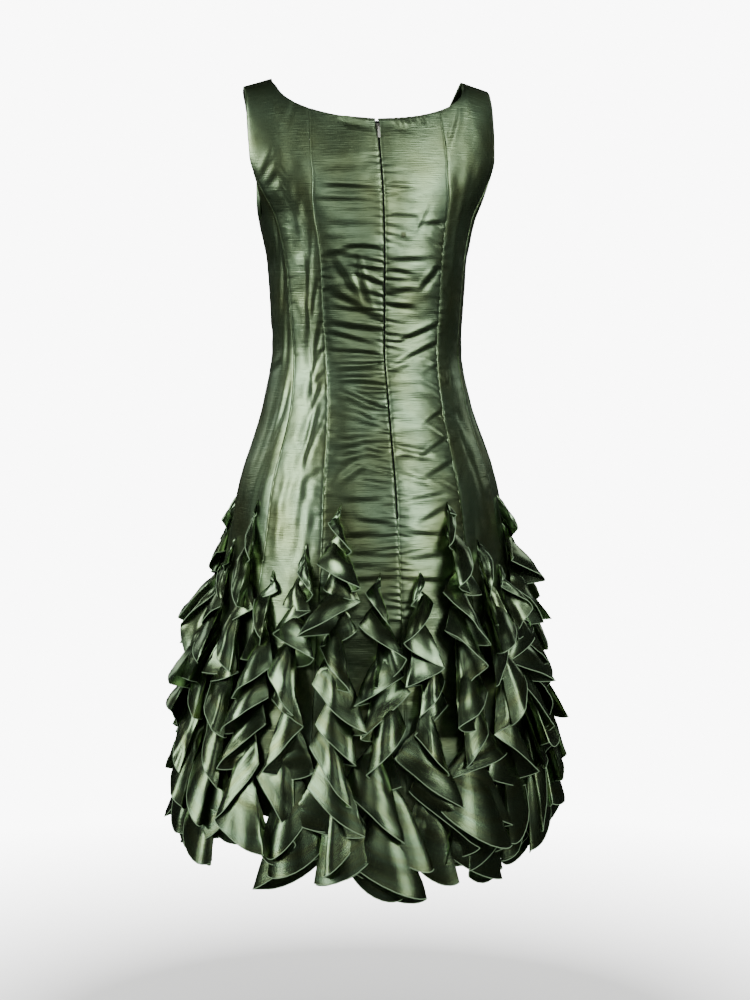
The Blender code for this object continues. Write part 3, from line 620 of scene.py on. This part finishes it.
def buildPanel(name, left, right, top, mirror, corners=(), material=panelSatin, leftTurn=clothSizes["turnedIn"]):
    u, v = panelShares(name, corners)
    hemAngles = (float(left(1.0)[0]), float(right(1.0)[0]))
    leftEdge, rightEdge = np.array(left(v)), np.array(right(v))
    topEdge = np.array(top(u))
    hem = hemAngles[0] + (hemAngles[1] - hemAngles[0]) * u
    hemEdge = np.array([hem, hemDrop(hem)])
    uu, vv = u[:, None], v[None, :]
    corner = [[edge[:, end][:, None, None] for end in (0, -1)] for edge in (leftEdge, rightEdge)]
    # a patch of angles and drops that meets all four edges
    patch = ((1 - uu) * leftEdge[:, None, :] + uu * rightEdge[:, None, :]
             + (1 - vv) * topEdge[:, :, None] + vv * hemEdge[:, :, None]
             - (1 - uu) * (1 - vv) * corner[0][0] - uu * (1 - vv) * corner[1][0]
             - (1 - uu) * vv * corner[0][1] - uu * vv * corner[1][1])
    angle, drop = patch
    place, side, down, out = formFrame(angle, drop)
    steps = np.linalg.norm(np.diff(place, axis=0), axis=-1)
    fromLeft = np.concatenate([np.zeros((1, place.shape[1])), np.cumsum(steps, axis=0)])
    fromRight = fromLeft[-1:] - fromLeft
    flatWidth = float(fromLeft[-1].max())
    flatLength = float(np.linalg.norm(np.diff(place, axis=1), axis=-1).sum(axis=1).max())
    area = meshArea(place)
    points = place + out * (clothSizes["wall"] / 2 + panelHeight(name, fromLeft, fromRight, drop))[..., None]
    points[0] += side[0] * clothSizes["seamInset"]
    points[-1] -= side[-1] * clothSizes["seamInset"]
    # every edge is turned in, so a row and a column more go round the piece
    border = ((1, 1), (1, 1), (0, 0))
    points, inwards = np.pad(points, border, mode="edge"), np.pad(out, border, mode="edge")
    turned = clothSizes["turnedIn"]
    for edge, depth in ((np.s_[0], leftTurn), (np.s_[-1], turned), (np.s_[:, 0], turned), (np.s_[:, -1], turned)):
        points[edge] -= inwards[edge] * depth
    cut = np.pad(np.stack([fromLeft, drop], -1), border, mode="edge")
    obj = clothObject(name + "_satin", points, cut, clothSizes["wall"], material, mirror, clothSizes["panelSharp"])
    print(name, "flat", round(flatWidth, 3), round(flatLength, 3), "area", round(area, 4))
    return obj, (flatWidth, flatLength), area


backPrincess, sideSeam, frontPrincess = seamLine(0, backTop), seamLine(1, sideTopDrop), seamLine(2, frontTop)
pieces = {}
for sideName, mirror in (("left", False), ("right", True)):
    name = "center_back_" + sideName
    pieces[name] = buildPanel(name, zipLine, backPrincess, backNeck, mirror,
                              material=stainedSatin if mirror else panelSatin, leftTurn=clothSizes["zipTurn"])
    name = "side_back_" + sideName
    pieces[name] = buildPanel(name, backPrincess, backOuterEdge, sideBackTop, mirror)
    name = "side_front_" + sideName
    pieces[name] = buildPanel(name, sideSeam, frontPrincess, sideFrontTop, mirror, frontCorners)
name = "center_front"
pieces[name] = buildPanel(name, frontPrincess, mirrored(frontPrincess), frontNeck, False)
print("panels made")


def addCord(obj, line, radius, material=None):  # a thin cord along the line, joined to the piece
    data = bpy.data.curves.new("hem", "CURVE")
    data.dimensions = "3D"
    data.bevel_depth = radius
    data.bevel_resolution = 0
    data.use_fill_caps = True
    spline = data.splines.new("POLY")
    spline.points.add(len(line) - 1)
    spline.points.foreach_set("co", np.concatenate([line, np.ones((len(line), 1))], axis=1).ravel())
    cord = bpy.data.objects.new("hem", data)
    tube = bpy.data.meshes.new_from_object(cord)
    bm = bmesh.new()
    bm.from_mesh(obj.data)
    cloth = len(bm.faces)
    bm.from_mesh(tube)
    if material:
        obj.data.materials.append(material)
        bm.faces.ensure_lookup_table()
        for face in bm.faces[cloth:]:
            face.material_index = 1
    bm.to_mesh(obj.data)
    bm.free()
    obj.data.shade_smooth()
    bpy.data.objects.remove(cord)
    bpy.data.curves.remove(data)
    bpy.data.meshes.remove(tube)

# Cascade ruffles: circular-cut strips sewn down the skirt. The free edge swings from side to side as it falls
ruffleLook = {
    "eachSide": 12, "apart": 15, "startDrops": (0.690, 0.595, 0.650), "endRise": {"left": 0.010, "right": 0.030},
    "rows": 320, "columns": 12, "rowCrowding": 0.55, "columnCrowding": 0.92,
    # the cloth's width and the height of a fold, at the top and at the hem
    "width": (0.066, 0.124), "widthGrowth": 0.7, "widthAtStart": 0.35, "growsOver": 0.05, "shorterInFront": 0.3,
    "fold": (0.032, 0.058), "firstAbove": 0.004,
    # below this share of its length the folds are closer, so that they close the hem
    "lowFrom": 0.78, "foldAtHem": 0.36, "swingAtHem": 0.94, "longerAtHem": 1.12, "rounderAtHem": 0.10,
    "hangsAtHem": 0.3, "plumb": {"left": 0.0, "right": 0.3}, "standsOff": 0.03, "lift": 0.05,
    "belowHem": (0.068, 0.094), "leastFall": 0.2, "leastLength": 0.2, "leastOutward": 0.002,
    # the corner where a front fold begins, and the one where it ends: how far it swings and stands out, its
    # length, and how far the cloth bulges up to the next one
    "swing": ((0.40, 0.78), (0.08, 0.52)), "outward": ((0.02, 0.20), (0.22, 0.58)),
    "corner": ((0.48, 0.76), (0.88, 1.08)), "bulge": ((0.04, 0.26), (-0.34, -0.06)),
    "roundness": (0.0, 0.35), "convex": (0.00, 0.14),
    "frontShare": (0.40, 0.66), "uneven": (0.8, 1.25), "flips": 0.3,
    # how faceted a bulge is, with the places and the height of its two creases
    "facets": (0.3, 1.0), "firstCrease": (0.2, 0.45), "secondCrease": (0.55, 0.82), "creaseHeight": (0.45, 1.1),
    # how the cloth goes from the seam to the free edge: it spreads first and then falls
    "spreads": 0.75, "stands": 0.8, "falls": 1.2, "bow": 0.12, "wander": (2.4, 50, 45),
    "flutes": 0.015, "fluteWaves": 420, "fluteSway": (1.2, 90),
    "crumple": 0.0011, "crumpleSize": (17, 8), "fineCrumple": 0.4, "fineSize": (7, 4), "calmerAtHem": (1.7, 0.6),
}


def ruffleHemAngle(number):
    return (number - 0.5) * ruffleLook["apart"]


def ruffleAngle(hemAngle, drop):  # a ruffle keeps its share of its panel all the way down
    hems = [0, *[float(seamColumns[k][-1]) for k in range(3)], 180]
    here = [np.zeros_like(drop), *[seamAngle(k, drop) for k in range(3)], np.full_like(drop, 180.0)]
    cell = int(np.searchsorted(hems, hemAngle, "right")) - 1
    share = (hemAngle - hems[cell]) / (hems[cell + 1] - hems[cell])
    return here[cell] + (here[cell + 1] - here[cell]) * share


def ruffleTurns(rng, start, end):  # the turning points of the free edge, from the top down
    look = ruffleLook
    turns, drop = [], start - look["firstAbove"]
    left, leading = rng.random() < 0.5, rng.random() < 0.5
    while not turns or turns[-1]["drop"] < end:
        share = min(1, max(0, (drop - start) / (end - start)))
        low = share > look["lowFrom"]
        fold = look["fold"][0] * (look["fold"][1] / look["fold"][0]) ** share * (look["foldAtHem"] if low else 1)
        front = left == leading
        kind = 0 if front else 1
        turns.append({
            "drop": drop,
            "swing": rng.uniform(*look["swing"][kind]) * (1 if left else -1) * (look["swingAtHem"] if low else 1),
            "reach": rng.uniform(*look["corner"][kind]) * (look["longerAtHem"] if low else 1),
            "outward": rng.uniform(*look["outward"][kind]),
            "bulge": rng.uniform(*look["bulge"][kind]),
            **{key: rng.uniform(*look[key])
               for key in ("roundness", "facets", "firstCrease", "secondCrease", "creaseHeight")},
            "convex": rng.uniform(*look["convex"]) + (look["rounderAtHem"] if low else 0),
        })
        frontShare = rng.uniform(*look["frontShare"])
        drop += fold * (frontShare if front else 1 - frontShare) * rng.uniform(*look["uneven"])
        left = not left
        if rng.random() < look["flips"]:
            leading = not leading
    return {key: np.array([turn[key] for turn in turns]) for key in turns[0]}


def buildRuffle(sideName, index, mirror):
    look = ruffleLook
    rng = random.Random(f"{sideName}{index}")
    name = f"ruffle_{sideName}_{index + 1:02d}"
    seed = index + 40 * mirror
    hemAngle = ruffleHemAngle(index + 1)
    start = look["startDrops"][index % 3]
    end = float(hemDrop(hemAngle)) - look["endRise"][sideName]
    turns = ruffleTurns(rng, start, end)
    at, swing = turns["drop"], turns["swing"]

    # rows crowd round the turning points
    last = int(np.searchsorted(at, end)) - 1
    lastPhase = last + (end - at[last]) / (at[last + 1] - at[last])
    phase = np.linspace((start - at[0]) / (at[1] - at[0]), lastPhase, look["rows"])
    k = np.clip(phase.astype(int), 0, len(at) - 2)
    t = crowdEnds(phase - k, look["rowCrowding"])
    drops = at[k] + (at[k + 1] - at[k]) * t
    here = {key: values[k] for key, values in turns.items()}
    ease = (1 - here["roundness"]) * t + here["roundness"] * t * t * (3 - 2 * t)
    first, second, height = here["firstCrease"], here["secondCrease"], here["creaseHeight"]
    between = 1 + (height - 1) * (t - first) / (second - first)
    faceted = np.where(t < first, t / first, np.where(t < second, between, height * (1 - t) / (1 - second)))
    bulge = here["bulge"] * (np.sin(math.pi * t) * (1 - here["facets"]) + faceted * here["facets"])

    # the free edge runs straight from one corner to the next, so that its corners hang lowest
    share = np.clip((at - start) / (end - start), 0, 1)
    hangs = 1 - (1 - look["hangsAtHem"]) * share**1.5
    outward = (turns["outward"] * hangs + look["standsOff"] + look["lift"] * (index % 2)
               - look["plumb"][sideName] * (1 - hangs) ** 2)
    narrow, wide = look["width"]
    shorter = 1 - look["shorterInFront"] * (1 - math.cos(math.radians(hemAngle))) / 2 * share**2
    widths = (narrow + (wide - narrow) * share ** look["widthGrowth"]) * shorter
    grown = look["widthAtStart"] + (1 - look["widthAtStart"]) * np.clip((at - start) / look["growsOver"], 0, 1)
    reach = widths * grown * turns["reach"]
    fall = np.sqrt(np.maximum(look["leastFall"], 1 - swing**2 - outward**2))
    corners = reach[:, None] * np.stack([swing, fall, outward], -1)
    # the free edge is cut level, so the folds that would hang lower are shorter
    level = float(hemDrop(hemAngle)) + np.array([rng.uniform(*look["belowHem"]) for _ in at])
    shorter = np.minimum(1, np.maximum(look["leastLength"], (level - at) / corners[:, 1]))
    corners, reach = corners * shorter[:, None], reach * shorter
    hem = corners[k] + (corners[k + 1] - corners[k]) * ease[:, None]
    hem *= (1 + here["convex"] * np.sin(math.pi * t))[:, None]
    width = reach[k] + (reach[k + 1] - reach[k]) * ease
    slack = np.sqrt(np.maximum(0, width**2 - (hem**2).sum(axis=1)))
    hem[:, 2] = np.maximum(hem[:, 2] + width * bulge * (0.5 + 0.5 * hangs[k]), look["leastOutward"])

    # the cloth between the seam and the free edge
    amount, across, tall = look["wander"]
    wander = (amount * noiseSheet(0 * drops, drops * 1000, across, tall, 300 + seed)
              * np.clip((drops - start) / look["growsOver"], 0, 1))
    place, side, down, out = formFrame(ruffleAngle(hemAngle, drops) + wander, drops)
    s = np.linspace(0, 1, look["columns"] + 1)[:, None] ** look["columnCrowding"]
    sway, swayWaves = look["fluteSway"]
    waves = np.sin(drops * look["fluteWaves"] + rng.uniform(0, 6) + sway * np.sin(drops * swayWaves))
    flute = look["flutes"] * waves * s**1.5
    sideways = hem[:, 0] * s ** look["spreads"] + width * flute
    outwards = hem[:, 2] * s ** look["stands"] + look["bow"] * slack * np.sin(math.pi * s)
    downwards = hem[:, 1] * s ** look["falls"]
    offset = clothSizes["wall"] + clothSizes["sewnGap"]
    points = (place + out * offset + sideways[..., None] * side + downwards[..., None] * down
              + outwards[..., None] * out)
    acrossCloth, alongCloth = np.gradient(points, axis=0), np.gradient(points, axis=1)
    strong, calmer = look["calmerAtHem"]
    strength = (look["crumple"] * np.minimum(1, s * 3)
                * (strong - calmer * np.clip((drops - start) / (end - start), 0, 1)))
    across = s * width * 1000
    coarse = noiseSheet(across + 30 * index, drops * 1000, *look["crumpleSize"], 100 + seed)
    fine = noiseSheet(across + 9 * index, drops * 1000, *look["fineSize"], 200 + seed)
    crumple = strength * (coarse + look["fineCrumple"] * fine)
    points = points + unit(np.cross(acrossCloth, alongCloth)) * crumple[..., None]

    edge, seam = lengthAlong(points[-1]), lengthAlong(points[0])
    cut = np.stack([s * width, seam + (edge - seam) * s], -1)
    area = meshArea(points)
    obj = clothObject(name + "_satin", points, cut, clothSizes["ruffleWall"], ruffleSatinPaintedShade, mirror,
                      clothSizes["ruffleSharp"])
    addCord(obj, points[-1] * ((-1, 1, 1) if mirror else (1, 1, 1)), clothSizes["hemCord"], rolledHem)
    return obj, (float(width.max()), float(seam[-1] + edge[-1]) / 2), area  # its length is along its middle


for sideName, mirror in (("left", False), ("right", True)):
    for index in range(ruffleLook["eachSide"]):
        pieces[f"ruffle_{sideName}_{index + 1:02d}"] = buildRuffle(sideName, index, mirror)
print("ruffles made")

for name, (obj, flat, area) in pieces.items():
    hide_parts(name)
    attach(obj, "garment")
    if name.startswith("ruffle"):
        _, sideName, number = name.split("_")

# The slider and the pull keep their CAD shape
for node in ("zip_slider", "zip_pull"):
    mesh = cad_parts[node].data
    mesh.materials.clear()
    mesh.materials.append(zipMetal)

zipLook = {
    "top": 0.056, "tapeWidth": 0.012, "tapeDepth": 0.0026, "tapeRows": 120, "tapeColumns": 5,
    "coilDepth": 0.0030, "coilRadius": 0.0012, "coilFlatness": 0.7, "coilPitch": 0.0015, "coilWire": 0.00035,
    "coilSteps": 7,
}


def buildZipTape():  # two woven tapes with an interlocked coil, behind the slot
    look = zipLook
    drops = np.linspace(look["top"], dressForm["zipEnd"], look["tapeRows"])
    tapes = []
    for mirror in (True, False):
        x = np.linspace(0, look["tapeWidth"], look["tapeColumns"])[:, None] + 0 * drops
        place, side, down, out = formFrame(angleAt(x, drops), drops)
        cut = np.stack([x, drops + 0 * x], -1)
        # the tapes take the near-black tape colour: painted shade for the slot
        tapes.append(clothObject("zip_tape", place - out * look["tapeDepth"], cut, clothSizes["tapeWall"],
                                 zipTapePaintedShade, mirror))
    turns = (dressForm["zipEnd"] - look["top"]) / look["coilPitch"]
    swing = np.linspace(0, 2 * math.pi * turns, int(turns * look["coilSteps"]))
    drops = look["top"] + swing / (2 * math.pi) * look["coilPitch"]
    place, side, down, out = formFrame(0 * drops, drops)
    sideways = look["coilRadius"] * np.cos(swing)
    outwards = look["coilFlatness"] * look["coilRadius"] * np.sin(swing) - look["coilDepth"]
    line = place + side * sideways[:, None] + out * outwards[:, None]
    bm = bmesh.new()
    for tape in tapes:
        bm.from_mesh(tape.data)
    bm.to_mesh(tapes[0].data)
    bm.free()
    bpy.data.objects.remove(tapes[1])
    # the coil takes the tape's near-black colour too: painted shade
    addCord(tapes[0], line, look["coilWire"])
    return tapes[0]


zipTape = buildZipTape()
zipTape.name = "zip_tape_and_coil"
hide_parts("zip_chain")
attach(zipTape, "garment")
print("zip made")

studio = {
    # degrees from the camera, elevation, distance, width, height, watts
    "softboxes": ((47, 28, 2.4, 0.85, 1.6, 1.7), (-61, 28, 2.4, 1.1, 1.9, 3.4),
                  (-128, 30, 2.6, 1.0, 1.7, 0.6), (132, 30, 2.6, 1.0, 1.7, 0.45)),
    "fill": (6, 28, 3.4, 1.6, 1.0, 0.52),
    "aim": (0, 0, -0.26), "spread": 40,  # they light the bodice more than the hem
    "softboxColour": (0.96, 1, 0.99), "worldGlossy": 0.012, "worldDiffuse": 1.6, "worldSeen": 9,
    "floorDrop": 1.40, "floorRadius": 1.6, "floorFadesFrom": 0.3, "floorSides": 96,
    "floorColour": "#F4F4F2", "floorRoughness": 0.9,
}


def softbox(name, turn, elevation, distance, width, height, watts):
    data = bpy.data.lights.new(name, "AREA")
    data.shape, data.size, data.size_y, data.energy = "RECTANGLE", width, height, watts
    data.color = studio["softboxColour"]
    data.spread = math.radians(studio["spread"])
    light = bpy.data.objects.new(name, data)
    light.location = aroundDress(photoCamera["azimuth"] + turn, elevation, distance, photoCamera["aim"])
    light.rotation_euler = turnedTo(studio["aim"], light.location)
    bpy.context.collection.objects.link(light)


for number, values in enumerate(studio["softboxes"]):
    softbox(f"softbox_{number + 1}", *values)
softbox("fill", *studio["fill"])

world = bpy.data.worlds.new("studio")
bpy.context.scene.world = world
world.use_nodes = True
tree = world.node_tree
tree.nodes.clear()
rays = addNode(tree, "ShaderNodeLightPath")
glossy, diffuse, seen = (addNode(tree, "ShaderNodeBackground", {"Color": (1, 1, 1, 1), "Strength": studio[k]})
                         for k in ("worldGlossy", "worldDiffuse", "worldSeen"))
lit = addNode(tree, "ShaderNodeMixShader", {},
              {0: rays.outputs["Is Diffuse Ray"], 1: glossy.outputs[0], 2: diffuse.outputs[0]})
mixed = addNode(tree, "ShaderNodeMixShader", {},
                {0: rays.outputs["Is Camera Ray"], 1: lit.outputs[0], 2: seen.outputs[0]})
addNode(tree, "ShaderNodeOutputWorld", {}, {"Surface": mixed.outputs[0]})

# The floor is a pale disc that fades out at its rim
bm = bmesh.new()
bmesh.ops.create_circle(bm, cap_ends=True, segments=studio["floorSides"], radius=studio["floorRadius"])
bmesh.ops.translate(bm, verts=bm.verts[:], vec=(0, 0, -studio["floorDrop"]))
floorMesh = bpy.data.meshes.new("floor")
bm.to_mesh(floorMesh)
bm.free()
floorPaint = plainMaterial("matt_pale_floor", studio["floorColour"], 0, studio["floorRoughness"])
tree = floorPaint.node_tree
place = addNode(tree, "ShaderNodeTexCoord")
flatPlace = addNode(tree, "ShaderNodeVectorMath", {"operation": "MULTIPLY", 1: (1, 1, 0)},
                    {0: place.outputs["Object"]})
fromMiddle = addNode(tree, "ShaderNodeVectorMath", {"operation": "LENGTH"}, {0: flatPlace.outputs["Vector"]})
fadesFrom = studio["floorRadius"] * studio["floorFadesFrom"]
fade = addNode(tree, "ShaderNodeMapRange", {"From Min": fadesFrom, "From Max": studio["floorRadius"]},
               {"Value": fromMiddle.outputs["Value"]})
rays = addNode(tree, "ShaderNodeLightPath")  # the satin's sheen doesn't mirror the floor
gone = addNode(tree, "ShaderNodeMath", {"operation": "MAXIMUM"},
               {0: fade.outputs["Result"], 1: rays.outputs["Is Glossy Ray"]})
clear = addNode(tree, "ShaderNodeBsdfTransparent")
soft = addNode(tree, "ShaderNodeMixShader", {},
               {0: gone.outputs["Value"], 1: tree.nodes["Principled BSDF"].outputs[0], 2: clear.outputs[0]})
tree.links.new(soft.outputs[0], tree.nodes["Material Output"].inputs["Surface"])
floorMesh.materials.append(floorPaint)
floor = bpy.data.objects.new("floor", floorMesh)
bpy.context.collection.objects.link(floor)
print("studio set")
